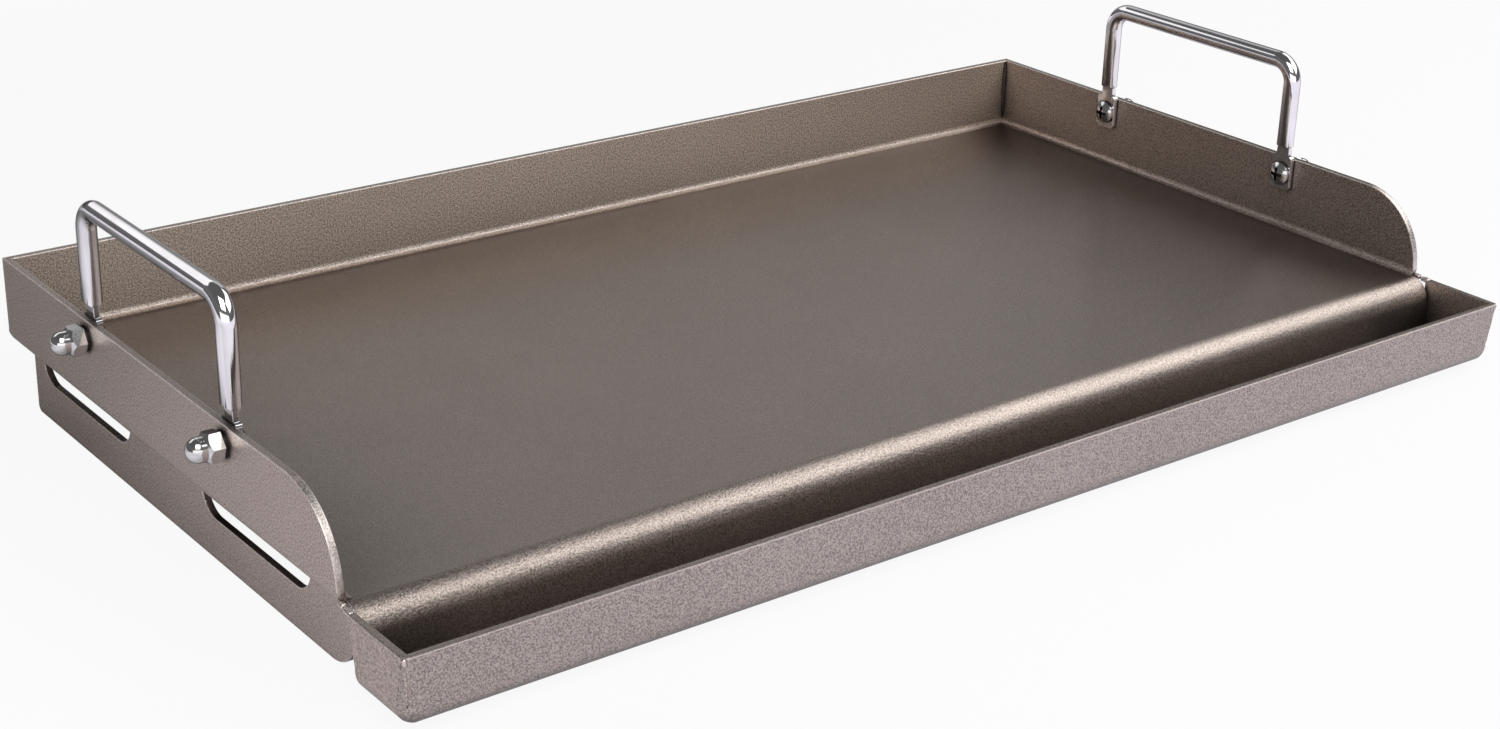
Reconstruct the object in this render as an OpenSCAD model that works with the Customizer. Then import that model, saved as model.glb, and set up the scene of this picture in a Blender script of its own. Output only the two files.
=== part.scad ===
// Camp griddle plate: a bent sheet pan with a grease trough along its front, standing on two vented
// side skirts, with a bolted rod handle on each side wall.
// The origin is on the ground in the middle of the pan, +X to the right, +Y to the back wall, +Z up.

/* [Pan] */
// Width over the outer faces of the two side walls
pan_w = 560; // [460:1:660]
// Depth from the back of the back wall to the front of the trough
pan_d = 326; // [270:1:400]
// Thickness of the bent sheet
sheet_t = 3; // [2:0.1:4]
// Height of the back and side walls above the cooking surface
wall_h = 35; // [28:0.5:50]
// Inside radius where the walls turn up from the cooking surface
wall_bend_r = 3.5; // [2:0.5:8]
// Radius that rounds the upper front end of each side wall
wall_nose_r = 33; // [10:1:45]

/* [Trough] */
// Inside width of the trough from front to back
trough_w = 32; // [24:0.5:45]
// Inside depth of the trough below the cooking surface
trough_depth = 25.5; // [18:0.5:28]
// Radius of the lip that rolls from the cooking surface down into the trough
lip_r = 10; // [5:0.5:12]
// Inside radius along both lower edges of the trough
trough_bend_r = 5; // [3:0.5:7]
// How far the rim of the trough lies below the cooking surface
rim_drop = 0.5; // [0:0.1:4]
// Thickness of the plates that close the ends of the trough
end_t = 3; // [2:0.1:4]
// How far an end plate stands out past the side wall
end_proud = 1; // [0:0.1:4]
// How much larger the radius of the trough's corners is than that of its lower edges
corner_ease = 0.3; // [0.2:0.05:0.6]
// Lean and spread of those rounded corners, in degrees; they get sharper toward the rim
corner_lean = 3; // [1:0.1:3.5]
// Open seam between the rolled lip and an end plate
lip_seam = 1; // [0.3:0.1:2]

/* [Skirts] */
// Height of the side skirts below the pan
skirt_h = 28.5; // [26:0.5:45]
// Thickness of the side skirts
skirt_t = 3; // [1:0.1:4]
// Distance from the end of a side wall's bend in to the outer face of its skirt
skirt_inset = 0; // [0:0.1:20]
// Distance from the end of the back wall's bend to the rear edge of a skirt
skirt_rear_gap = 2.5; // [0:0.5:30]
// Distance from the start of the rolled lip to the front edge of a skirt
skirt_front_gap = 0; // [0:0.5:20]
// Radius of the lower front corner of a skirt
skirt_front_r = 18; // [4:0.5:22]
// Radius of the lower rear corner of a skirt
skirt_rear_r = 3; // [1:0.5:10]
// Depth of the vents below the pan
vent_depth = 11; // [6:0.5:18]
// Radius of the lower corners of a vent
vent_r = 11; // [3:0.5:11]
// Upright left between the rear edge of a skirt and its rear vent
vent_rear_land = 9.5; // [5:0.5:30]
// Upright left between the two vents of a skirt
vent_mid_land = 62; // [20:1:90]
// Upright left between the front vent and the front edge of a skirt
vent_front_land = 31.5; // [10:0.5:50]

/* [Braces] */
// Thickness of the strips that stiffen the pan from below
brace_t = 3; // [2:0.1:5]
// Depth of the strips below the pan
brace_h = 20; // [12:0.5:23]
// Distance between the two front-to-back strips
cross_brace_spacing = 260; // [120:1:400]
// Distance from each end of a front-to-back strip to the nearest bend of the pan
cross_brace_gap = 3; // [1:0.5:30]
// Total play where two strips are slotted into each other
lap_play = 0.2; // [0.1:0.05:0.6]

/* [Handles] */
// Diameter of the handle rod
rod_d = 8; // [6:0.1:10]
// Distance between the two legs of a handle, axis to axis
handle_span = 118; // [80:1:150]
// Height of a handle's grip above the cooking surface, to its axis
handle_h = 81; // [70:1:120]
// Radius of the rod's bends, to its axis
handle_bend_r = 10; // [6:0.5:25]
// Width of a leg's flattened end
tab_w = 11.5; // [10:0.1:14]
// Thickness of a leg's flattened end
tab_t = 2.6; // [2:0.1:4]
// Height of a flattened end's shoulders above the wall
tab_rise = 1; // [0.3:0.1:4]
// Reach of a flattened end below its screw
tab_drop = 8; // [6.5:0.1:12]
// Corner radius of a flattened end
tab_corner_r = 2; // [0.5:0.1:4]
// Width of the neck between a flattened end and the round rod
neck_w = 7; // [5:0.1:7.6]
// Length of the neck
neck_l = 4; // [2:0.1:8]
// Height over which the round rod narrows into the neck
neck_h = 2.2; // [1.5:0.1:6]

/* [Fasteners] */
// Diameter of the handle screws
screw_d = 6; // [4:0.1:7]
// Distance from the top of the wall down to the screw axes
screw_edge = 8; // [6.5:0.5:12]
// Play of a screw in the holes of the wall and the handle, on the diameter
hole_play = 0.6; // [0.2:0.1:1]
// Diameter of the screw heads
head_d = 11; // [9:0.1:13]
// Height of the screw heads
head_h = 3.6; // [3:0.1:5]
// Height of the rounded part of a screw head
head_crown = 2.2; // [1:0.1:2.8]
// Length of each arm of the cross recess, tip to tip
recess_l = 6.4; // [4:0.1:8]
// Width of the arms of the cross recess
recess_w = 1.5; // [1:0.1:2.5]
// Depth of the cross recess
recess_depth = 2; // [1:0.1:2.8]
// Outer diameter of the lock washers
washer_d = 10.6; // [9:0.1:13]
// Thickness of the lock washers
washer_t = 1.4; // [0.8:0.1:2.5]
// Width of the slit in a lock washer
washer_slit = 1.2; // [0.5:0.1:2.5]
// Slant of that slit, in degrees
washer_slant = 20; // [0:1:35]
// Width of the domed nuts across flats
nut_af = 11; // [9.5:0.1:14]
// Height of the hexagon of a domed nut
nut_hex_h = 6; // [4:0.1:8]
// Diameter of the dome
dome_d = 9.6; // [9:0.1:11]
// Full length of a domed nut
nut_l = 12.6; // [11:0.1:16]
// Length of screw inside a domed nut
thread_l = 7; // [4:0.1:8]
// Play of a screw in its nut, on the diameter
thread_play = 0.2; // [0.1:0.05:0.4]
// Free depth in a nut past the end of its screw
thread_spare = 1; // [0.3:0.1:1.5]

/* [Hidden] */
$fn = 96;
// Overlap that carries a cut clear past a face
cut = 1;
// Least flat that a rounding leaves beside it
min_land = 0.5;
hex_sides = 6;
coat = "#766c66";
bright = "#c8c6cc";
dark_steel = "#4a4a4e";

half_w = pan_w / 2;
back_y = pan_d / 2;
front_y = -pan_d / 2;
plate_z = skirt_h + sheet_t;
wall_top_z = plate_z + wall_h;
wall_in_x = half_w - sheet_t;
bend_out_r = wall_bend_r + sheet_t;
nose_r = min(wall_nose_r, wall_h - min_land);

drop_y = front_y + sheet_t + trough_w;
drop_back_y = drop_y + sheet_t;
lip_y = drop_y + lip_r;
lip_axis_z = plate_z - lip_r;
rim_z = plate_z - rim_drop;
trough_floor_z = plate_z - trough_depth;
trough_low_z = trough_floor_z - sheet_t;
trough_out_r = trough_bend_r + sheet_t;
end_out_x = half_w + end_proud;
end_in_x = end_out_x - end_t;
corner_r = trough_out_r + corner_ease;
// Least radius of the upright part of a corner, inside that of its ball so that the two cross
corner_foot_r = trough_out_r + corner_ease / 3;
corner_z = trough_low_z + trough_out_r;
corner_h = rim_z - trough_low_z + 2 * cut;

skirt_out_x = half_w - bend_out_r - skirt_inset;
skirt_in_x = skirt_out_x - skirt_t;
skirt_rear_y = back_y - bend_out_r - skirt_rear_gap;
skirt_front_y = lip_y + skirt_front_gap;
skirt_l = skirt_rear_y - skirt_front_y;
vent_l = (skirt_l - vent_rear_land - vent_mid_land - vent_front_land) / 2;
front_vent_y = skirt_front_y + vent_front_land;
rear_vent_y = front_vent_y + vent_l + vent_mid_land;
vent_corner_r = min(vent_r, vent_depth, vent_l / 2 - min_land);

long_brace_y = front_vent_y + vent_l + vent_mid_land / 2;
brace_low_z = skirt_h - brace_h;
brace_mid_z = skirt_h - brace_h / 2;
cross_rear_y = back_y - bend_out_r - cross_brace_gap;
cross_front_y = lip_y + cross_brace_gap;
lap_w = brace_t + lap_play;

handle_y = (back_y + lip_y) / 2;
leg_rear_y = handle_y + handle_span / 2;
leg_front_y = handle_y - handle_span / 2;
bar_z = plate_z + handle_h;
screw_z = wall_top_z - screw_edge;
tab_mid_x = wall_in_x - tab_t / 2;
tab_low_z = screw_z - tab_drop;
tab_corner = min(tab_corner_r, tab_w / 2 - min_land);
shoulder_z = wall_top_z + tab_rise;
neck_low_z = shoulder_z - cut;
flat_top_z = shoulder_z + neck_l;
leg_top_z = bar_z - handle_bend_r;

hole_d = screw_d + hole_play;
head_seat_x = sheet_t + tab_t;
screw_tip_x = washer_t + thread_l;
nut_bore_l = thread_l + thread_spare;

// How far each nut's hexagon is turned about its screw, in degrees
left_rear_turn = 30;
left_front_turn = 20;
right_rear_turn = 0;
right_front_turn = 10;

// Draws a side-view outline (Y across, Z up) and carries it from x0 to x1
module along_x(x0, x1) {
    translate([x0, 0, 0])
        rotate([90, 0, 90])
            linear_extrude(x1 - x0)
                children();
}

// Draws a front-view outline (X across, Z up) and carries it from y0 to y1
module along_y(y0, y1) {
    translate([0, y1, 0])
        rotate([90, 0, 0])
            linear_extrude(y1 - y0)
                children();
}

// Turns a piece that is drawn for the right side over to the left
module left_side() {
    mirror([1, 0, 0])
        children();
}

// Puts a fastener, drawn along +X from the outer face of the right wall, at one of the screw holes
module at_hole(y) {
    translate([half_w, y, screw_z])
        children();
}

// Round bar or hole along X
module bar_x(x0, x1, d) {
    translate([x0, 0, 0])
        rotate([0, 90, 0])
            cylinder(h = x1 - x0, d = d);
}

// Upright outline with both lower corners rounded
module round_floor(a0, a1, z0, z1, r) {
    translate([a0, z0 + r])
        square([a1 - a0, z1 - z0 - r]);
    translate([a0 + r, z0])
        square([a1 - a0 - 2 * r, z1 - z0]);
    for (a = [a0 + r, a1 - r])
        translate([a, z0 + r])
            circle(r);
}

// Upright outline with only its far lower corner rounded
module round_back(a0, a1, z0, z1, r) {
    translate([a0, z0 + r])
        square([a1 - a0, z1 - z0 - r]);
    translate([a0, z0])
        square([a1 - a0 - r, z1 - z0]);
    translate([a1 - r, z0 + r])
        circle(r);
}

// Waste outside a rounded corner: the corner lies at the origin, the body in the first quadrant
module corner_waste(r) {
    difference() {
        translate([-cut, -cut])
            square(r + cut);
        translate([r, r])
            circle(r);
    }
}

// Solid form of the pan, open to the front, with its back and side walls rolled up from the floor
module tray_form(half, y0, y1, z0, z1, r) {
    intersection() {
        along_x(-half, half)
            round_back(y0, y1, z0, z1, r);
        along_y(y0, y1)
            round_floor(-half, half, z0, z1, r);
    }
}

// Side view of the lip rolling down from the cooking surface, with tails that run into the plate and the drop
module lip_section() {
    tail_z = plate_z - sheet_t / 2;
    intersection() {
        difference() {
            union() {
                translate([lip_y, lip_axis_z])
                    circle(lip_r);
                translate([lip_y, lip_axis_z])
                    square([cut, lip_r]);
                translate([drop_y, lip_axis_z - cut])
                    square([lip_r, cut]);
            }
            translate([lip_y, lip_axis_z])
                circle(lip_r - sheet_t);
            translate([lip_y, lip_axis_z - 2 * cut])
                square([2 * cut, tail_z - lip_axis_z + 2 * cut]);
            translate([drop_back_y, lip_axis_z - 2 * cut])
                square([lip_r, 2 * cut]);
        }
        translate([drop_y, lip_axis_z - cut])
            square([lip_r + cut, lip_r + cut]);
    }
}

// Side view of the trough: the drop under the lip, the floor and the front wall
module trough_section() {
    difference() {
        round_floor(front_y, drop_back_y, trough_low_z, rim_z, trough_out_r);
        round_floor(front_y + sheet_t, drop_y, trough_floor_z, rim_z + cut, trough_bend_r);
        translate([drop_y - sheet_t, lip_axis_z])
            square([lip_r + sheet_t, lip_r + cut]);
    }
}

// Waste outside a rounded corner of the trough, drawn for its left front: a ball at the foot, a leaning cone above
module trough_corner_waste() {
    difference() {
        translate([-trough_out_r - cut, -trough_out_r - cut, -trough_out_r - cut])
            cube([trough_out_r + cut, trough_out_r + cut, corner_h]);
        sphere(corner_r);
        rotate([0, -corner_lean, 45])
            cylinder(h = corner_h, r1 = corner_foot_r, r2 = corner_foot_r + corner_h * tan(corner_lean));
    }
}

// Outer form of the whole trough: rounded along the lower edge of both ends and at its corners
module trough_form() {
    difference() {
        along_y(front_y, drop_back_y)
            round_floor(-end_out_x, end_out_x, trough_low_z, rim_z, trough_out_r);
        for (side = [0, 1])
            mirror([side, 0, 0]) {
                translate([-end_out_x + trough_out_r, front_y + trough_out_r, corner_z])
                    trough_corner_waste();
                translate([-end_out_x + trough_out_r, drop_back_y - trough_out_r, corner_z])
                    mirror([0, 1, 0])
                        trough_corner_waste();
            }
    }
}

module griddle_pan() {
    color(coat)
        difference() {
            union() {
                difference() {
                    tray_form(half_w, lip_y, back_y, skirt_h, wall_top_z, bend_out_r);
                    tray_form(wall_in_x, lip_y - cut, back_y - sheet_t, plate_z, wall_top_z + cut, wall_bend_r);
                }
                along_x(-end_in_x + lip_seam, end_in_x - lip_seam)
                    lip_section();
                intersection() {
                    along_x(-end_in_x, end_in_x)
                        trough_section();
                    trough_form();
                }
            }
            translate([0, lip_y, wall_top_z])
                mirror([0, 0, 1])
                    along_x(-half_w - cut, half_w + cut)
                        corner_waste(nose_r);
            for (y = [leg_rear_y, leg_front_y])
                translate([0, y, screw_z])
                    bar_x(-half_w - cut, half_w + cut, hole_d);
        }
}

// End plate of the trough, rounded with the ends of the trough
module trough_end() {
    color(coat)
        intersection() {
            along_x(end_in_x, end_out_x)
                round_floor(front_y, drop_back_y, trough_low_z, rim_z, trough_out_r);
            trough_form();
        }
}

// Side skirt: an upright strip whose top edge is cut away in two long vents
module side_skirt() {
    color(coat)
        along_x(skirt_in_x, skirt_out_x)
            difference() {
                translate([skirt_front_y, 0])
                    square([skirt_l, skirt_h]);
                translate([skirt_front_y, 0])
                    corner_waste(skirt_front_r);
                translate([skirt_rear_y, 0])
                    mirror([1, 0])
                        corner_waste(skirt_rear_r);
                for (y = [front_vent_y, rear_vent_y])
                    round_floor(y, y + vent_l, skirt_h - vent_depth, skirt_h + cut, vent_corner_r);
            }
}

// Side-to-side strip, slotted from below where the front-to-back strips cross it
module long_brace() {
    color(coat)
        along_y(long_brace_y - brace_t / 2, long_brace_y + brace_t / 2)
            difference() {
                translate([-skirt_in_x, brace_low_z])
                    square([2 * skirt_in_x, brace_h]);
                for (side = [-1, 1])
                    translate([side * cross_brace_spacing / 2 - lap_w / 2, brace_low_z - cut])
                        square([lap_w, brace_h / 2 + cut]);
            }
}

// Front-to-back strip, slotted from above where the side-to-side strip crosses it
module cross_brace() {
    color(coat)
        along_x(cross_brace_spacing / 2 - brace_t / 2, cross_brace_spacing / 2 + brace_t / 2)
            difference() {
                translate([cross_front_y, brace_low_z])
                    square([cross_rear_y - cross_front_y, brace_h]);
                translate([long_brace_y - lap_w / 2, brace_mid_z])
                    square([lap_w, brace_h / 2 + cut]);
            }
}

// Flattened and drilled end of a leg
module leg_tab(y) {
    difference() {
        along_x(tab_mid_x - tab_t / 2, tab_mid_x + tab_t / 2)
            difference() {
                translate([y - tab_w / 2, tab_low_z])
                    square([tab_w, shoulder_z - tab_low_z]);
                translate([y - tab_w / 2, tab_low_z])
                    corner_waste(tab_corner);
                translate([y + tab_w / 2, tab_low_z])
                    mirror([1, 0])
                        corner_waste(tab_corner);
                translate([y - tab_w / 2, shoulder_z])
                    mirror([0, 1])
                        corner_waste(tab_corner);
                translate([y + tab_w / 2, shoulder_z])
                    rotate(180)
                        corner_waste(tab_corner);
            }
        translate([0, y, screw_z])
            bar_x(wall_in_x - tab_t - cut, wall_in_x + cut, hole_d);
    }
}

// Outline of a leg across one axis: flat over the neck, then flaring past the rod
module leg_outline(mid, flat_w) {
    flare = (rod_d - flat_w) / 2;
    flare_top_z = flat_top_z + neck_h * (flare + cut) / flare;
    half_flat = flat_w / 2;
    half_top = rod_d / 2 + cut;
    polygon([
        [mid - half_flat, neck_low_z],
        [mid + half_flat, neck_low_z],
        [mid + half_flat, flat_top_z],
        [mid + half_top, flare_top_z],
        [mid + half_top, leg_top_z + cut],
        [mid - half_top, leg_top_z + cut],
        [mid - half_top, flare_top_z],
        [mid - half_flat, flat_top_z]
    ]);
}

// Leg: round rod, pressed into a flat neck at its foot
module leg(y) {
    intersection() {
        translate([tab_mid_x, y, neck_low_z])
            cylinder(h = leg_top_z - neck_low_z, d = rod_d);
        along_y(y - rod_d, y + rod_d)
            leg_outline(tab_mid_x, tab_t);
        along_x(tab_mid_x - rod_d, tab_mid_x + rod_d)
            leg_outline(y, neck_w);
    }
}

// Quarter turn of rod from the top of a leg into the grip; dir is +1 towards the back
module rod_bend(y, dir) {
    translate([tab_mid_x, y - dir * handle_bend_r, leg_top_z])
        rotate([90, 0, dir > 0 ? 90 : -90])
            rotate_extrude(angle = 90)
                translate([handle_bend_r, 0])
                    circle(d = rod_d);
}

// Handle: two legs and a grip bent from one rod
module handle() {
    color(bright) {
        for (y = [leg_rear_y, leg_front_y]) {
            leg_tab(y);
            leg(y);
        }
        rod_bend(leg_rear_y, 1);
        rod_bend(leg_front_y, -1);
        translate([tab_mid_x, leg_rear_y - handle_bend_r, bar_z])
            rotate([90, 0, 0])
                cylinder(h = handle_span - 2 * handle_bend_r, d = rod_d);
    }
}

// Pan-head screw with a cross recess, its head on the flattened leg inside the wall
module handle_screw() {
    crown_r = (head_d * head_d / 4 + head_crown * head_crown) / (2 * head_crown);
    color(bright)
        difference() {
            union() {
                bar_x(-head_seat_x, screw_tip_x, screw_d);
                intersection() {
                    bar_x(-head_seat_x - head_h, -head_seat_x, head_d);
                    translate([-head_seat_x - head_h + crown_r, 0, 0])
                        sphere(crown_r);
                }
            }
            for (turn = [0, 90])
                translate([-head_seat_x - head_h - cut, 0, 0])
                    rotate([turn, 0, 0])
                        translate([0, -recess_l / 2, -recess_w / 2])
                            cube([recess_depth + cut, recess_l, recess_w]);
        }
}

// Split lock washer between the wall and the nut
module lock_washer() {
    color(dark_steel)
        difference() {
            bar_x(0, washer_t, washer_d);
            bar_x(-cut, washer_t + cut, hole_d);
            translate([washer_t / 2, 0, 0])
                rotate([0, 0, washer_slant])
                    translate([-washer_t, -washer_slit / 2, 0])
                        cube([2 * washer_t, washer_slit, washer_d]);
        }
}

// Domed nut; turn sets how far the hexagon is turned about the screw, in degrees
module acorn_nut(turn) {
    dome_r = dome_d / 2;
    hex_d = nut_af / cos(180 / hex_sides);
    color(bright)
        rotate([turn, 0, 0])
            difference() {
                translate([washer_t, 0, 0])
                    union() {
                        intersection() {
                            rotate([0, 90, 0])
                                cylinder(h = nut_hex_h, d = hex_d, $fn = hex_sides);
                            rotate([0, 90, 0])
                                cylinder(h = nut_hex_h, d1 = dome_d + 2 * nut_hex_h, d2 = dome_d);
                        }
                        bar_x(nut_hex_h, nut_l - dome_r, dome_d);
                        translate([nut_l - dome_r, 0, 0])
                            sphere(dome_r);
                    }
                bar_x(washer_t - cut, washer_t + nut_bore_l, screw_d + thread_play);
            }
}

griddle_pan();
left_side() trough_end();  // trough_end_left
trough_end();  // trough_end_right
left_side() side_skirt();  // side_skirt_left
side_skirt();  // side_skirt_right
long_brace();
left_side() cross_brace();  // cross_brace_left
cross_brace();  // cross_brace_right
left_side() handle();  // handle_left
handle();  // handle_right
left_side() at_hole(leg_rear_y) handle_screw();  // handle_screw_left_rear
left_side() at_hole(leg_front_y) handle_screw();  // handle_screw_left_front
at_hole(leg_rear_y) handle_screw();  // handle_screw_right_rear
at_hole(leg_front_y) handle_screw();  // handle_screw_right_front
left_side() at_hole(leg_rear_y) lock_washer();  // lock_washer_left_rear
left_side() at_hole(leg_front_y) lock_washer();  // lock_washer_left_front
at_hole(leg_rear_y) lock_washer();  // lock_washer_right_rear
at_hole(leg_front_y) lock_washer();  // lock_washer_right_front
left_side() at_hole(leg_rear_y) acorn_nut(left_rear_turn);  // acorn_nut_left_rear
left_side() at_hole(leg_front_y) acorn_nut(left_front_turn);  // acorn_nut_left_front
at_hole(leg_rear_y) acorn_nut(right_rear_turn);  // acorn_nut_right_rear
at_hole(leg_front_y) acorn_nut(right_front_turn);  // acorn_nut_right_front
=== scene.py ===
import math
import random

import bmesh
import bpy
from mathutils import Matrix, Vector


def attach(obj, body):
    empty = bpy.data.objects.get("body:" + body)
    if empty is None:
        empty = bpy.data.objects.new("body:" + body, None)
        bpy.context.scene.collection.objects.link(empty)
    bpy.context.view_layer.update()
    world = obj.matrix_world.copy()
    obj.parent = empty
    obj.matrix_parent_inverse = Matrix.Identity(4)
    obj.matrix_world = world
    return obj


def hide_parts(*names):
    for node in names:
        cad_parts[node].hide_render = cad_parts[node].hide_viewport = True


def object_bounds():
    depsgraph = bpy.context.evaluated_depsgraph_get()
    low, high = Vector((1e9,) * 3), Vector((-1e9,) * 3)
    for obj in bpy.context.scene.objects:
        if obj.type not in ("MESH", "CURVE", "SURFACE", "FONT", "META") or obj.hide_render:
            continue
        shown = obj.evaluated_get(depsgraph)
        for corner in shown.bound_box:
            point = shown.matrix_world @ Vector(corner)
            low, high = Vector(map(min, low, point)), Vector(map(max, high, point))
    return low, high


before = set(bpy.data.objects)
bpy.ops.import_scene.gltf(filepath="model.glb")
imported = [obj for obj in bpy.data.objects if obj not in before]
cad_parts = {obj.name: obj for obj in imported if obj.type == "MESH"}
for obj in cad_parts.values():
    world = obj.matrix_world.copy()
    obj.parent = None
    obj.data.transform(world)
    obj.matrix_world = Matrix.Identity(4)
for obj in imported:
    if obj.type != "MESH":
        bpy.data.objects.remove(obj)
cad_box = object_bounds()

RANDOM_SEED = 4

# Ranges that many values share
UNIT = (0.0, 1.0)
FALLING = (1.0, 0.0)
NOISE_MIDDLE = (0.3, 0.7)

# Camera, fitted to the photo's straight edges: degrees, metres and pixels
CAMERA_AZIMUTH = -37.9833
CAMERA_ELEVATION = 22.8491
CAMERA_ROLL = 1.6281
CAMERA_DISTANCE = 1.0751
CAMERA_SLIDE_RIGHT = -0.0128
CAMERA_SLIDE_UP = 0.0095
CAMERA_FOCAL_PIXELS = 2460.4
PHOTO_WIDTH = 1500
SENSOR_WIDTH = 36.0

# Floor: paint, glow as it is seen and as it is mirrored in the part, and where the glow rises; the paint's
# dim part is a painted shadow and the mirrored glow is painted light
FLOOR_SIZE = 16.0
FLOOR_GAP = 0.0002
# Paint where the floor fades behind the part on the left: a painted shadow
FLOOR_PAINTED_SHADOW = (0.48, 0.48, 0.48, 1)
FLOOR_BRIGHT = (0.90, 0.90, 0.90, 1)
FLOOR_WHITE = (1, 1, 1, 1)
# Lilac tint of the floor's glow where the part mirrors it, and that glow's rise toward the front right:
# painted reflection
FLOOR_REFLECTION_TINT = (0.95, 0.92, 1.0, 1)
FLOOR_GLOW_SEEN = 0.92
FLOOR_GLOW_MIRRORED = 0.91
FLOOR_GLOW_DIRECTION = (0.37, -0.93, 0.0)
FLOOR_GLOW_RANGE = (-0.33, 0.27)
FLOOR_FAR = (0.60, 1.00)

# Shade on the floor beside the left skirt: where it begins, how it clears away from the skirt,
# and where it ends at the front and the rear
SIDE_BEGINS = (-0.270, -0.280)
SIDE_GAP = (-0.285, -0.365)
SIDE_SHADE = -0.20
SIDE_RISE = 0.64
SIDE_FRONT = (-0.15, -0.08)
SIDE_REAR = (0.12, 0.28)

# Dome light: height from the horizon to overhead, brightness
DOME_STOPS = (
    (0.00, 0.10),
    (0.35, 0.14),
    (0.75, 0.10),
    (1.00, 0.10),
)
# Soft boxes: name, place, target, width and height, brightness
SOFT_BOXES = (
    ("key_box", (0.94, -0.74, 1.11), (0, 0, 0.03), (1.5, 0.95), 1.8),
    ("side_box", (1.18, 0.12, 1.08), (0, 0, 0.03), (0.9, 0.9), 1.25),
    ("low_front_box", (-1.10, -1.90, 0.46), (0, 0, 0.05), (3.6, 0.84), 1.2),
    ("rear_box", (1.15, 1.85, 1.05), (0, 0, 0.05), (1.6, 2.0), 0.40),
    ("back_box", (-0.33, 1.56, 1.14), (0, 0, 0.05), (1.5, 0.7), 0.95),
    ("front_box", (-0.70, -1.08, 1.53), (0, 0, 0.0), (1.2, 1.2), 4.0),
)

METALLIC = 1.0

# Coat on the bent sheet, a metallic brown grey with a sandy grain: finish, dark tone, light tone, roughness
COAT_FINISHES = {
    "sand_coat": ((0.33, 0.280, 0.251, 1), (0.67, 0.568, 0.510, 1), (0.27, 0.37)),
    # Lighter tones on the rounded edges, the nose's cut edge and the weld tacks: partly wear, partly a
    # painted highlight
    "worn_and_highlit_edge": ((0.67, 0.568, 0.510, 1), (0.88, 0.82, 0.79, 1), (0.26, 0.42)),
    # Lighter, warmer copy of the coat inside the back wall: painted light
    "back_wall_painted_light_coat": ((0.36, 0.312, 0.272, 1), (0.96, 0.832, 0.726, 1), (0.27, 0.37)),
    # Darker, cooler copy of the coat on the outside of the trough's front wall: painted shade
    "front_wall_painted_shade_coat": ((0.25, 0.219, 0.201, 1), (0.57, 0.499, 0.460, 1), (0.27, 0.37)),
    # Near-black coat of the rear corner seams: painted shade
    "seam_shade": ((0.07, 0.058, 0.052, 1), (0.14, 0.118, 0.106, 1), (0.5, 0.6)),
}
COAT_FLECK = (0.74, 0.65, 0.61, 1)
COAT_PAINTED_SHADE = (0.05, 0.041, 0.037, 1)
COAT_GRAIN_SCALE = 1400
COAT_FLECK_SCALE = 2300
GRAIN_NOISE = dict(Detail=2.0, Roughness=0.6)
GRAIN_SWING = (-1.0, 1.0)
MOTTLE_NOISE = dict(Scale=11.0, Detail=4.0, Roughness=0.62)
MOTTLE_TONE = (0.42, 0.58)
FLECK_CHOICE = (0.86, 0.98)
FLECK_STRENGTH = 0.4
COAT_BUMP_STRENGTH = 0.9
COAT_BUMP_DEPTH = 0.00021
# Faces that lie flat are worn smoother, with less grain, and darker as painted shade; upright faces stay
# rougher and are lighter as painted light
FLAT_FACING = (0.93, 0.995)
FLAT_GRAIN = 0.42
FLAT_SMOOTHER = -0.02
FLAT_PAINTED_SHADE = -0.40
UPRIGHT_FACING = (0.2, 0.5)
UPRIGHT_ROUGHER = 0.13
UPRIGHT_PAINTED_LIGHT = 0.06

# Bare steel: finish, colour, roughness, strength of its scratches; it darkens where it turns away, a painted
# dark reflection
STEEL_FINISHES = {
    "polished_rod": ((0.92, 0.90, 0.93, 1), (0.06, 0.14), 0.2),
    "polished_fastener": ((0.76, 0.75, 0.75, 1), (0.10, 0.20), 0.3),
    "dark_spring_steel": ((0.09, 0.085, 0.085, 1), (0.3, 0.45), 0.4),
}
STEEL_RIM = (0.56, 0.76)
STEEL_RIM_PAINTED_SHADE = (0.10, 0.09, 0.10, 1)
STEEL_DULL = 0.88
JOINT_PAINTED_SHADE = (0.03, 0.027, 0.027, 1)
SMEAR_SCALE = 55
SMEAR_NOISE = dict(Detail=3.0, Roughness=0.55)
SMEAR_TONE = (0.35, 0.7)
SMEAR_ROUGH = (0.3, 0.75)
SCRATCH_SCALE = 1400
SCRATCH_NOISE = dict(Detail=1.0, Roughness=0.5)
SCRATCH_DEPTH = 0.00002

# Painted shade, a darker colour where the surface is closed in: in corners and the trough, on the plate along
# its walls, and in the joints of fittings
SHADE_SAMPLES = 6
CORNER_PAINTED_SHADE = dict(Reach=0.045, Deep=0.20, Open=0.50, Most=1.0, Least=0.0)
PLATE_PAINTED_SHADE = dict(Reach=0.16, Deep=0.80, Open=1.0, Most=0.63, Least=0.10)
COAT_JOINT_PAINTED_SHADE = dict(Reach=0.003, Deep=0.45, Open=0.85, Most=0.7, Least=0.0)
STEEL_JOINT_PAINTED_SHADE = dict(Reach=0.003, Deep=0.45, Open=0.85, Most=1.0, Least=0.0)

# Sockets of the colour mix node
MIX_FIRST = 6
MIX_SECOND = 7
MIX_RESULT = 2

# Softened edges, in metres and radians
EDGE_RADIUS = 0.00045
EDGE_SEGMENTS = 2
EDGE_PROFILE = 0.5
SHADED_EDGE = math.radians(32)
CUT_EDGE = math.radians(45)
FLAT_ANGLE = math.radians(1)
SHORT_EDGE = 0.0009
WELD_GAP = 0.00001
TROUGH_JOINT_X = 0.278

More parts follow.
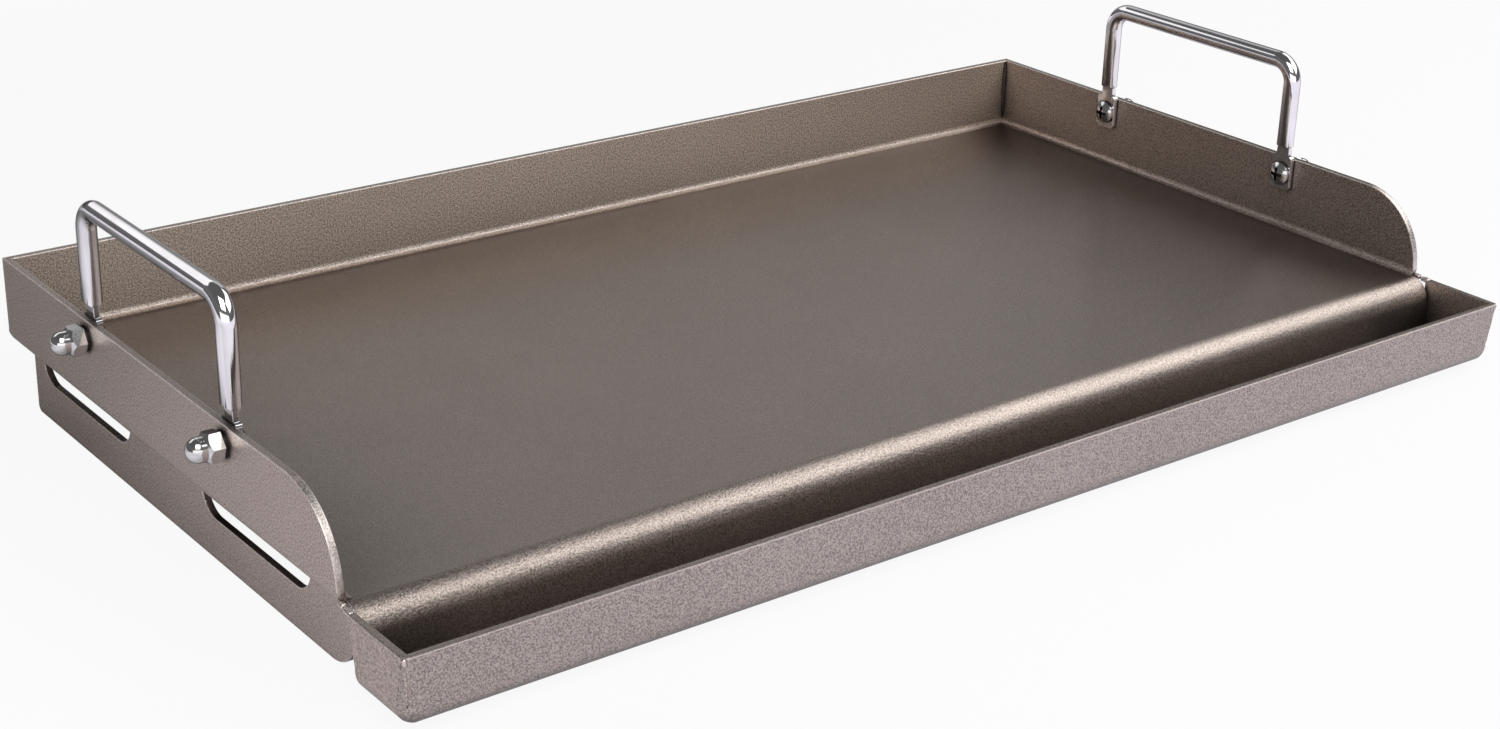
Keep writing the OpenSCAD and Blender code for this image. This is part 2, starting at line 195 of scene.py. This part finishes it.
# Finishes of the sheet, in the order of the four face numbers
SHEET_FINISHES = ("sand_coat", "worn_and_highlit_edge", "back_wall_painted_light_coat", "front_wall_painted_shade_coat")
COAT_FACE = 0
WORN_AND_HIGHLIT_FACE = 1
BACK_WALL_FACE = 2
FRONT_WALL_FACE = 3
# Cut edge round the nose of a side wall: inner face of the wall, height, turn to the front and the side
NOSE_X = 0.2768
NOSE_Z = 0.0335
NOSE_TURN = -0.15
NOSE_SIDE = 0.3
# Inside of the back wall: how far back it lies, how squarely it faces the front; it takes a lighter, warmer
# copy of the coat as painted light
BACK_WALL_Y = 0.155
BACK_WALL_TURN = -0.9
# Outside of the trough's front wall with its rounded corners; it takes a darker, cooler copy of the coat as
# painted shade
FRONT_WALL_Y = -0.155
FRONT_WALL_TURN = -0.3

COATED_NODES = (
    "griddle_pan",
    "trough_end_left",
    "trough_end_right",
    "side_skirt_left",
    "side_skirt_right",
    "long_brace",
    "cross_brace_left",
    "cross_brace_right",
)
FITTINGS = (
    ("handle_screw_", "polished_fastener"),
    ("acorn_nut_", "polished_fastener"),
    ("lock_washer_", "dark_spring_steel"),
)
SIDE_SIGN = {"left": -1, "right": 1}
ENDS = ("rear", "front")

# Weld beads on the right side, mirrored to the left: name, finish, slot, start, end, half width and height
WELD_BEADS = (
    ("wall_tack_", "worn_and_highlit_edge", "coated_steel",
     (0.2789, -0.1176, 0.0311), (0.2790, -0.1215, 0.0310), (0.0014, 0.0012)),
    ("end_tack_", "worn_and_highlit_edge", "coated_steel",
     (0.2790, -0.1213, 0.0307), (0.2794, -0.1268, 0.0304), (0.0015, 0.0012)),
    ("corner_nib_", "worn_and_highlit_edge", "coated_steel",
     (0.2798, -0.1618, 0.0278), (0.2800, -0.1620, 0.0309), (0.0009, 0.0009)),
    ("corner_weld_", "sand_coat", "coated_steel",
     (0.2787, -0.1607, 0.0110), (0.2798, -0.1618, 0.0286), (0.0006, 0.0006)),
    # Dark seam in each rear inner corner: a bead coloured as painted shade
    ("corner_seam_", "seam_shade", "dark_steel",
     (0.2764, 0.1596, 0.0350), (0.2764, 0.1596, 0.0660), (0.0009, 0.0006)),
)
WELD_STEPS = 9
WELD_SIDES = 10
WELD_UNEVEN = 0.14
WELD_BLUNT = 3


def add_node(tree, kind, **values):
    """Adds a node and sets its properties and its unlinked inputs by name."""
    node = tree.nodes.new(kind)
    for name, value in values.items():
        if name in node.inputs:
            node.inputs[name].default_value = value
        else:
            setattr(node, name, value)
    return node


def feed(tree, value, socket):
    """Links another node's output into an input, or sets a plain value on it."""
    if isinstance(value, bpy.types.NodeSocket):
        tree.links.new(value, socket)
    else:
        socket.default_value = value


def spread(tree, source, reach, target=UNIT):
    """Maps a value from one range to another and clamps it."""
    node = tree.nodes.new("ShaderNodeMapRange")
    feed(tree, source, node.inputs["Value"])
    for name, value in zip(("From Min", "From Max", "To Min", "To Max"), reach + target):
        feed(tree, value, node.inputs[name])
    return node.outputs["Result"]


def join_values(tree, operation, *terms):
    """Joins values by one operation."""
    node = add_node(tree, "ShaderNodeMath", operation=operation)
    for term, socket in zip(terms, node.inputs):
        feed(tree, term, socket)
    return node.outputs["Value"]


def blend_colours(tree, factor, first, second):
    """Mixes two colours."""
    node = add_node(tree, "ShaderNodeMix", data_type="RGBA")
    feed(tree, factor, node.inputs["Factor"])
    feed(tree, first, node.inputs[MIX_FIRST])
    feed(tree, second, node.inputs[MIX_SECOND])
    return node.outputs[MIX_RESULT]


def split_vector(tree, vector):
    """Splits a vector into X, Y and Z."""
    node = tree.nodes.new("ShaderNodeSeparateXYZ")
    feed(tree, vector, node.inputs["Vector"])
    return node.outputs


def object_place(tree):
    """Place on the piece, in its own metres."""
    return tree.nodes.new("ShaderNodeTexCoord").outputs["Object"]


def new_group(name, inputs, outputs):
    """Starts a shader node group with named float inputs and outputs."""
    tree = bpy.data.node_groups.new(name, "ShaderNodeTree")
    for socket in inputs:
        tree.interface.new_socket(socket, in_out="INPUT", socket_type="NodeSocketFloat")
    for socket in outputs:
        tree.interface.new_socket(socket, in_out="OUTPUT", socket_type="NodeSocketFloat")
    source = tree.nodes.new("NodeGroupInput")
    target = tree.nodes.new("NodeGroupOutput")
    return tree, source.outputs, target.inputs


def put_out(tree, target, results):
    """Links a group's results to its outputs by name."""
    for name, result in results.items():
        feed(tree, result, target[name])


def face_masks(tree):
    """Masks of the faces that lie flat and of those that stand upright."""
    normal = tree.nodes.new("ShaderNodeNewGeometry").outputs["Normal"]
    height = split_vector(tree, normal)["Z"]
    flat = spread(tree, height, FLAT_FACING)
    upright = spread(tree, join_values(tree, "ABSOLUTE", height), UPRIGHT_FACING, FALLING)
    return flat, upright


def sand_grain_group():
    """Sandy grain of the coat: bump height, flecks and tone, fainter on the flat top, and both face masks;
    the tone also carries painted shade on flat faces and painted light on upright ones.
    """
    inputs = ("Grain Scale", "Fleck Scale")
    tree, source, target = new_group("sand_grain", inputs, ("Height", "Fleck", "Tone", "Flat", "Upright"))
    place = object_place(tree)
    grain = add_node(tree, "ShaderNodeTexNoise", **GRAIN_NOISE)
    fleck = add_node(tree, "ShaderNodeTexVoronoi", feature="F1")
    mottle = add_node(tree, "ShaderNodeTexNoise", **MOTTLE_NOISE)
    for node in (grain, fleck, mottle):
        feed(tree, place, node.inputs["Vector"])
    feed(tree, source["Grain Scale"], grain.inputs["Scale"])
    feed(tree, source["Fleck Scale"], fleck.inputs["Scale"])
    flat, upright = face_masks(tree)
    kept = spread(tree, flat, UNIT, (1.0, FLAT_GRAIN))
    swing = spread(tree, grain.outputs["Fac"], NOISE_MIDDLE, GRAIN_SWING)
    ground = spread(tree, mottle.outputs["Fac"], NOISE_MIDDLE, MOTTLE_TONE)
    # Painted light on upright faces and painted shade on flat faces, added to the tone
    lighter = spread(tree, upright, UNIT, (0.0, UPRIGHT_PAINTED_LIGHT))
    darker = spread(tree, flat, UNIT, (0.0, FLAT_PAINTED_SHADE))
    shift = join_values(tree, "ADD", lighter, darker)
    tone = join_values(tree, "ADD", join_values(tree, "MULTIPLY_ADD", swing, kept, ground), shift)
    cells = tree.nodes.new("ShaderNodeSeparateColor")
    feed(tree, fleck.outputs["Color"], cells.inputs["Color"])
    glint = join_values(tree, "MULTIPLY", spread(tree, cells.outputs["Red"], FLECK_CHOICE), kept)
    results = dict(Height=grain.outputs["Fac"], Fleck=glint, Tone=tone, Flat=flat, Upright=upright)
    put_out(tree, target, results)
    return tree


def wipe_marks_group():
    """Marks on bare steel: slow smears and fine scratches."""
    tree, source, target = new_group("wipe_marks", ("Smear Scale", "Scratch Scale"), ("Smear", "Scratch"))
    place = object_place(tree)
    smear = add_node(tree, "ShaderNodeTexNoise", **SMEAR_NOISE)
    scratch = add_node(tree, "ShaderNodeTexNoise", **SCRATCH_NOISE)
    for node in (smear, scratch):
        feed(tree, place, node.inputs["Vector"])
    feed(tree, source["Smear Scale"], smear.inputs["Scale"])
    feed(tree, source["Scratch Scale"], scratch.inputs["Scale"])
    put_out(tree, target, dict(Smear=smear.outputs["Fac"], Scratch=scratch.outputs["Fac"]))
    return tree


def occlusion_shade_group():
    """Painted shade where a surface is closed in: a share that runs from open ground to deep places."""
    tree, source, target = new_group("occlusion_shade", ("Reach", "Deep", "Open", "Most", "Least"), ("Share",))
    depth = add_node(tree, "ShaderNodeAmbientOcclusion", samples=SHADE_SAMPLES)
    feed(tree, source["Reach"], depth.inputs["Distance"])
    depths = (source["Deep"], source["Open"])
    shares = (source["Most"], source["Least"])
    put_out(tree, target, dict(Share=spread(tree, depth.outputs["AO"], depths, shares)))
    return tree


def place_group(tree, group, **values):
    """Puts a shared group into a material with its own values."""
    node = tree.nodes.new("ShaderNodeGroup")
    node.node_tree = group
    for name, value in values.items():
        node.inputs[name.replace("_", " ")].default_value = value
    return node.outputs


def new_metal(name):
    """Starts a material with one metallic Principled shader."""
    material = bpy.data.materials.new(name)
    material.use_nodes = True
    tree = material.node_tree
    shader = tree.nodes["Principled BSDF"].inputs
    shader["Metallic"].default_value = METALLIC
    return material, tree, shader


def bump(tree, shader, height, strength, distance):
    """Feeds a height into the shader's normal."""
    node = add_node(tree, "ShaderNodeBump", Strength=strength, Distance=distance)
    feed(tree, height, node.inputs["Height"])
    feed(tree, node.outputs["Normal"], shader["Normal"])


def painted_coat_shade(tree, shade_group, colour, flat):
    """Darkens corners, the trough and joints, and the plate along its walls, as painted shade."""
    corner = place_group(tree, shade_group, **CORNER_PAINTED_SHADE)["Share"]
    joint = place_group(tree, shade_group, **COAT_JOINT_PAINTED_SHADE)["Share"]
    beside = place_group(tree, shade_group, **PLATE_PAINTED_SHADE)["Share"]
    enclosed_shade = join_values(tree, "MAXIMUM", corner, joint)
    share = join_values(tree, "MAXIMUM", enclosed_shade, join_values(tree, "MULTIPLY", beside, flat))
    return blend_colours(tree, share, colour, COAT_PAINTED_SHADE)


def coat_material(name, grain, shade_group, dark, light, rough):
    """The baked coat: metallic flakes in a sandy skin."""
    material, tree, shader = new_metal(name)
    sand = place_group(tree, grain, Grain_Scale=COAT_GRAIN_SCALE, Fleck_Scale=COAT_FLECK_SCALE)
    ground = blend_colours(tree, sand["Tone"], dark, light)
    glint = spread(tree, sand["Fleck"], UNIT, (0.0, FLECK_STRENGTH))
    colour = blend_colours(tree, glint, ground, COAT_FLECK)
    feed(tree, painted_coat_shade(tree, shade_group, colour, sand["Flat"]), shader["Base Color"])
    worn = spread(tree, sand["Flat"], UNIT, (0.0, FLAT_SMOOTHER))
    sprayed = spread(tree, sand["Upright"], UNIT, (0.0, UPRIGHT_ROUGHER))
    grainy = spread(tree, sand["Height"], NOISE_MIDDLE, rough)
    skin = join_values(tree, "ADD", grainy, join_values(tree, "ADD", worn, sprayed))
    feed(tree, skin, shader["Roughness"])
    bump(tree, shader, sand["Height"], COAT_BUMP_STRENGTH, COAT_BUMP_DEPTH)
    return material


def steel_material(name, wipes, shade_group, colour, rough, strength):
    """Bare polished steel with wipe marks."""
    material, tree, shader = new_metal(name)
    marks = place_group(tree, wipes, Smear_Scale=SMEAR_SCALE, Scratch_Scale=SCRATCH_SCALE)
    dull = tuple(channel * STEEL_DULL for channel in colour[:3]) + (1,)
    wiped = blend_colours(tree, spread(tree, marks["Smear"], SMEAR_TONE), colour, dull)
    # Painted dark reflection on the rims, where the surface turns away from the view
    rim = tree.nodes.new("ShaderNodeLayerWeight")
    painted_rim = spread(tree, rim.outputs["Facing"], STEEL_RIM)
    rim_shaded_colour = blend_colours(tree, painted_rim, wiped, STEEL_RIM_PAINTED_SHADE)
    # Painted shade in the joints of the fittings
    joint = place_group(tree, shade_group, **STEEL_JOINT_PAINTED_SHADE)["Share"]
    feed(tree, blend_colours(tree, joint, rim_shaded_colour, JOINT_PAINTED_SHADE), shader["Base Color"])
    feed(tree, spread(tree, marks["Smear"], SMEAR_ROUGH, rough), shader["Roughness"])
    bump(tree, shader, marks["Scratch"], strength, SCRATCH_DEPTH)
    return material


def make_finishes():
    """All finishes of the part by name, over three shared groups."""
    grain = sand_grain_group()
    wipes = wipe_marks_group()
    shade_group = occlusion_shade_group()
    finishes = {}
    for name, values in COAT_FINISHES.items():
        finishes[name] = coat_material(name, grain, shade_group, *values)
    for name, values in STEEL_FINISHES.items():
        finishes[name] = steel_material(name, wipes, shade_group, *values)
    return finishes


def side_shade(tree, place):
    """Change of the floor's glow beside the left skirt."""
    parts = split_vector(tree, place)
    beside = spread(tree, parts["X"], SIDE_BEGINS)
    behind = spread(tree, parts["Y"], SIDE_FRONT)
    rise = spread(tree, parts["X"], SIDE_GAP, (0.0, SIDE_RISE))
    ahead = spread(tree, parts["Y"], SIDE_REAR, FALLING)
    shade = join_values(tree, "MULTIPLY_ADD", rise, ahead, SIDE_SHADE)
    return join_values(tree, "MULTIPLY", shade, join_values(tree, "MULTIPLY", beside, behind))


def painted_floor_light(tree):
    """Painted light and shadow on the floor: dim behind the part, bright at the front right and far away."""
    place = object_place(tree)
    along = add_node(tree, "ShaderNodeVectorMath", operation="DOT_PRODUCT")
    feed(tree, place, along.inputs[0])
    feed(tree, FLOOR_GLOW_DIRECTION, along.inputs[1])
    side = spread(tree, along.outputs["Value"], FLOOR_GLOW_RANGE)
    away = add_node(tree, "ShaderNodeVectorMath", operation="LENGTH")
    feed(tree, place, away.inputs[0])
    most = join_values(tree, "MAXIMUM", side, spread(tree, away.outputs["Value"], FLOOR_FAR))
    return spread(tree, join_values(tree, "ADD", most, side_shade(tree, place)), UNIT)


def floor_material():
    """Pale floor that looks white where it is lit and keeps the shadow, with a painted shadow in its paint
    and painted light in what the part mirrors.
    """
    material = bpy.data.materials.new("pale_floor")
    material.use_nodes = True
    tree = material.node_tree
    tree.nodes.clear()
    # Painted light and shadow: the floor's paint and its mirrored glow both follow this fade
    painted_light = painted_floor_light(tree)
    paint = tree.nodes.new("ShaderNodeBsdfDiffuse")
    feed(tree, blend_colours(tree, painted_light, FLOOR_PAINTED_SHADOW, FLOOR_BRIGHT), paint.inputs["Color"])
    path = tree.nodes.new("ShaderNodeLightPath").outputs
    glow = tree.nodes.new("ShaderNodeEmission")
    reflection_tint = blend_colours(tree, path["Is Glossy Ray"], FLOOR_WHITE, FLOOR_REFLECTION_TINT)
    feed(tree, reflection_tint, glow.inputs["Color"])
    seen = join_values(tree, "MULTIPLY", path["Is Camera Ray"], FLOOR_GLOW_SEEN)
    reflected = spread(tree, painted_light, UNIT, (0.0, FLOOR_GLOW_MIRRORED))
    share = join_values(tree, "MULTIPLY_ADD", path["Is Glossy Ray"], reflected, seen)
    mix = tree.nodes.new("ShaderNodeMixShader")
    feed(tree, share, mix.inputs["Fac"])
    feed(tree, paint.outputs["BSDF"], mix.inputs[1])
    feed(tree, glow.outputs["Emission"], mix.inputs[2])
    output = tree.nodes.new("ShaderNodeOutputMaterial")
    feed(tree, mix.outputs["Shader"], output.inputs["Surface"])
    return material


def cut_edges(bm):
    """Outer edges where two faces meet at a real corner, but not those of the dressed trough joints."""
    found = []
    for edge in bm.edges:
        first, second = (vert.co.x for vert in edge.verts)
        joined = abs(abs(first) - TROUGH_JOINT_X) < WELD_GAP and abs(first - second) < WELD_GAP
        outer = len(edge.link_faces) == 2 and edge.is_convex and edge.calc_length() > SHORT_EDGE
        if outer and edge.calc_face_angle(0.0) > CUT_EDGE and not joined:
            found.append(edge)
    return found


def face_finish(face):
    """Which of the sheet's finishes a face takes, by where it lies and turns: painted light inside the back
    wall, painted shade outside the front wall.
    """
    centre = face.calc_center_median()
    turn = face.normal.y
    if centre.y < FRONT_WALL_Y and turn < FRONT_WALL_TURN:
        return FRONT_WALL_FACE
    if centre.z < NOSE_Z or abs(face.normal.x) > NOSE_SIDE or turn > NOSE_TURN:
        return COAT_FACE
    if centre.y > BACK_WALL_Y and turn < BACK_WALL_TURN:
        return BACK_WALL_FACE
    # The nose's cut edge takes the lighter edge finish, partly wear and partly a painted highlight
    if abs(centre.x) > NOSE_X:
        return WORN_AND_HIGHLIT_FACE
    return COAT_FACE


def smooth_mesh(bm, name, materials):
    """Turns a built form into a smooth shaded mesh with its materials."""
    for face in bm.faces:
        face.smooth = True
    mesh = bpy.data.meshes.new(name)
    bm.to_mesh(mesh)
    bm.free()
    for material in materials:
        mesh.materials.append(material)
    return mesh


def add_piece(name, mesh):
    """Adds a piece that rides on the part's one body."""
    piece = bpy.data.objects.new(name, mesh)
    bpy.context.scene.collection.objects.link(piece)
    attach(piece, "root")
    return piece


def soften_edges(node, name, materials):
    """Stands for a node: the same form with its cut edges rounded under the finish; the rounded edges take a
    lighter finish, partly wear and partly a painted highlight.
    """
    bm = bmesh.new()
    bm.from_mesh(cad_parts[node].data)
    bmesh.ops.remove_doubles(bm, verts=bm.verts, dist=WELD_GAP)
    bmesh.ops.dissolve_limit(bm, angle_limit=FLAT_ANGLE, verts=bm.verts, edges=bm.edges)
    for face in bm.faces:
        face.material_index = face_finish(face)
    bmesh.ops.bevel(
        bm,
        geom=cut_edges(bm),
        offset=EDGE_RADIUS,
        offset_type="OFFSET",
        segments=EDGE_SEGMENTS,
        profile=EDGE_PROFILE,
        affect="EDGES",
        clamp_overlap=False,
        material=WORN_AND_HIGHLIT_FACE,
    )
    mesh = smooth_mesh(bm, name, materials)
    mesh.set_sharp_from_angle(angle=SHADED_EDGE)
    piece = add_piece(name, mesh)
    weighted = piece.modifiers.new("even_shading", "WEIGHTED_NORMAL")
    weighted.keep_sharp = True
    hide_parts(node)


def mirrored(point, side):
    """A point of the right side, on either side."""
    return Vector((point[0] * SIDE_SIGN[side], point[1], point[2]))


def weld_rings(bm, start, end, half_size):
    """Uneven rings along a short line, narrower toward both ends."""
    along = (end - start).normalized()
    across = Vector((1, 0, 0))
    rise = along.cross(across).normalized()
    half_width, half_height = half_size
    rings = []
    for step in range(1, WELD_STEPS):
        share = step / WELD_STEPS
        lump = 1 + random.uniform(-WELD_UNEVEN, WELD_UNEVEN)
        swell = math.sqrt(1 - abs(2 * share - 1) ** WELD_BLUNT) * lump
        centre = start.lerp(end, share)
        ring = []
        for turn in range(WELD_SIDES):
            angle = 2 * math.pi * turn / WELD_SIDES
            reach = across * half_width * math.cos(angle) + rise * half_height * math.sin(angle)
            ring.append(bm.verts.new(centre + reach * swell))
        rings.append(ring)
    return rings


def weld_bead(name, material, slot, start, end, half_size):
    """A lumpy weld bead, drawn to a point at both ends."""
    bm = bmesh.new()
    rings = weld_rings(bm, start, end, half_size)
    first_tip = bm.verts.new(start)
    last_tip = bm.verts.new(end)
    for turn in range(WELD_SIDES):
        after = (turn + 1) % WELD_SIDES
        bm.faces.new((first_tip, rings[0][after], rings[0][turn]))
        bm.faces.new((last_tip, rings[-1][turn], rings[-1][after]))
        for first, second in zip(rings, rings[1:]):
            bm.faces.new((first[turn], first[after], second[after], second[turn]))
    bmesh.ops.recalc_face_normals(bm, faces=bm.faces)
    add_piece(name, smooth_mesh(bm, name, (material,)))


def add_welds(finishes):
    """Tacks at the feet of the side walls, nibs on the trough corners, roots in the rear corners; tacks and
    nibs take the lighter edge finish, partly a painted highlight, and the rear roots a near-black painted
    shade.
    """
    for side in SIDE_SIGN:
        for name, finish, slot, start, end, half_size in WELD_BEADS:
            line = (mirrored(start, side), mirrored(end, side))
            weld_bead(name + side, finishes[finish], slot, *line, half_size)


def dress_node(node, material):
    """Gives a CAD node its finished material."""
    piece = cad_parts[node]
    piece.material_slots[0].material = material


def add_fittings(finishes):
    """Polished handles, screws and nuts, and dark washers."""
    rod = finishes["polished_rod"]
    for side in SIDE_SIGN:
        handle = "handle_" + side
        soften_edges(handle, handle + "_polished", (rod,) * len(SHEET_FINISHES))
        for end in ENDS:
            for fitting, finish in FITTINGS:
                dress_node(fitting + side + "_" + end, finishes[finish])


def add_floor():
    """A wide floor just under the part."""
    half = FLOOR_SIZE / 2
    mesh = bpy.data.meshes.new("floor")
    corners = [(-half, -half, 0), (half, -half, 0), (half, half, 0), (-half, half, 0)]
    mesh.from_pydata(corners, [], [(0, 1, 2, 3)])
    mesh.materials.append(floor_material())
    floor = bpy.data.objects.new("floor", mesh)
    floor.location.z = cad_box[0].z - FLOOR_GAP
    bpy.context.scene.collection.objects.link(floor)


def add_dome():
    """Soft light from all round, a little brighter a third of the way up."""
    world = bpy.data.worlds.new("studio_dome")
    world.use_nodes = True
    tree = world.node_tree
    direction = tree.nodes.new("ShaderNodeTexCoord").outputs["Generated"]
    ramp = tree.nodes.new("ShaderNodeValToRGB")
    feed(tree, split_vector(tree, direction)["Z"], ramp.inputs["Fac"])
    stops = ramp.color_ramp.elements
    while len(stops) < len(DOME_STOPS):
        stops.new(1.0)
    for stop, (height, level) in zip(stops, DOME_STOPS):
        stop.position = height
        stop.color = (level, level, level, 1)
    feed(tree, ramp.outputs["Color"], tree.nodes["Background"].inputs["Color"])
    bpy.context.scene.world = world


def add_soft_box(name, place, target, size, radiance):
    """A soft box of a given brightness, turned to face a point."""
    lamp = bpy.data.lights.new(name, "AREA")
    lamp.shape = "RECTANGLE"
    lamp.size, lamp.size_y = size
    lamp.energy = math.pi * size[0] * size[1] * radiance
    box = bpy.data.objects.new(name, lamp)
    box.location = place
    aim = Vector(target) - Vector(place)
    box.rotation_mode = "QUATERNION"
    box.rotation_quaternion = aim.to_track_quat("-Z", "Y")
    bpy.context.scene.collection.objects.link(box)


def add_camera():
    """Camera at the photo's viewing angle."""
    turn = math.radians(CAMERA_AZIMUTH)
    tilt = math.radians(CAMERA_ELEVATION)
    roll = math.radians(CAMERA_ROLL)
    back = Vector((math.sin(turn) * math.cos(tilt), -math.cos(turn) * math.cos(tilt), math.sin(tilt)))
    level = Vector((math.cos(turn), math.sin(turn), 0))
    upright = back.cross(level)
    right = level * math.cos(roll) + upright * math.sin(roll)
    up = upright * math.cos(roll) - level * math.sin(roll)
    data = bpy.data.cameras.new("photo_camera")
    data.sensor_fit = "HORIZONTAL"
    data.sensor_width = SENSOR_WIDTH
    data.lens = CAMERA_FOCAL_PIXELS / PHOTO_WIDTH * SENSOR_WIDTH
    camera = bpy.data.objects.new("photo_camera", data)
    axes = Matrix((right, up, back)).transposed().to_4x4()
    axes.translation = back * CAMERA_DISTANCE + right * CAMERA_SLIDE_RIGHT + up * CAMERA_SLIDE_UP
    camera.matrix_world = axes
    bpy.context.scene.collection.objects.link(camera)
    bpy.context.scene.camera = camera


def build():
    """The finished part on its floor, lit and seen as in the photo."""
    finishes = make_finishes()
    sheet = [finishes[name] for name in SHEET_FINISHES]
    for node in COATED_NODES:
        soften_edges(node, node + "_coated", sheet)
    add_welds(finishes)
    add_fittings(finishes)
    add_floor()
    add_dome()
    for values in SOFT_BOXES:
        add_soft_box(*values)
    add_camera()


random.seed(RANDOM_SEED)
bpy.context.scene.view_settings.view_transform = "Standard"
build()
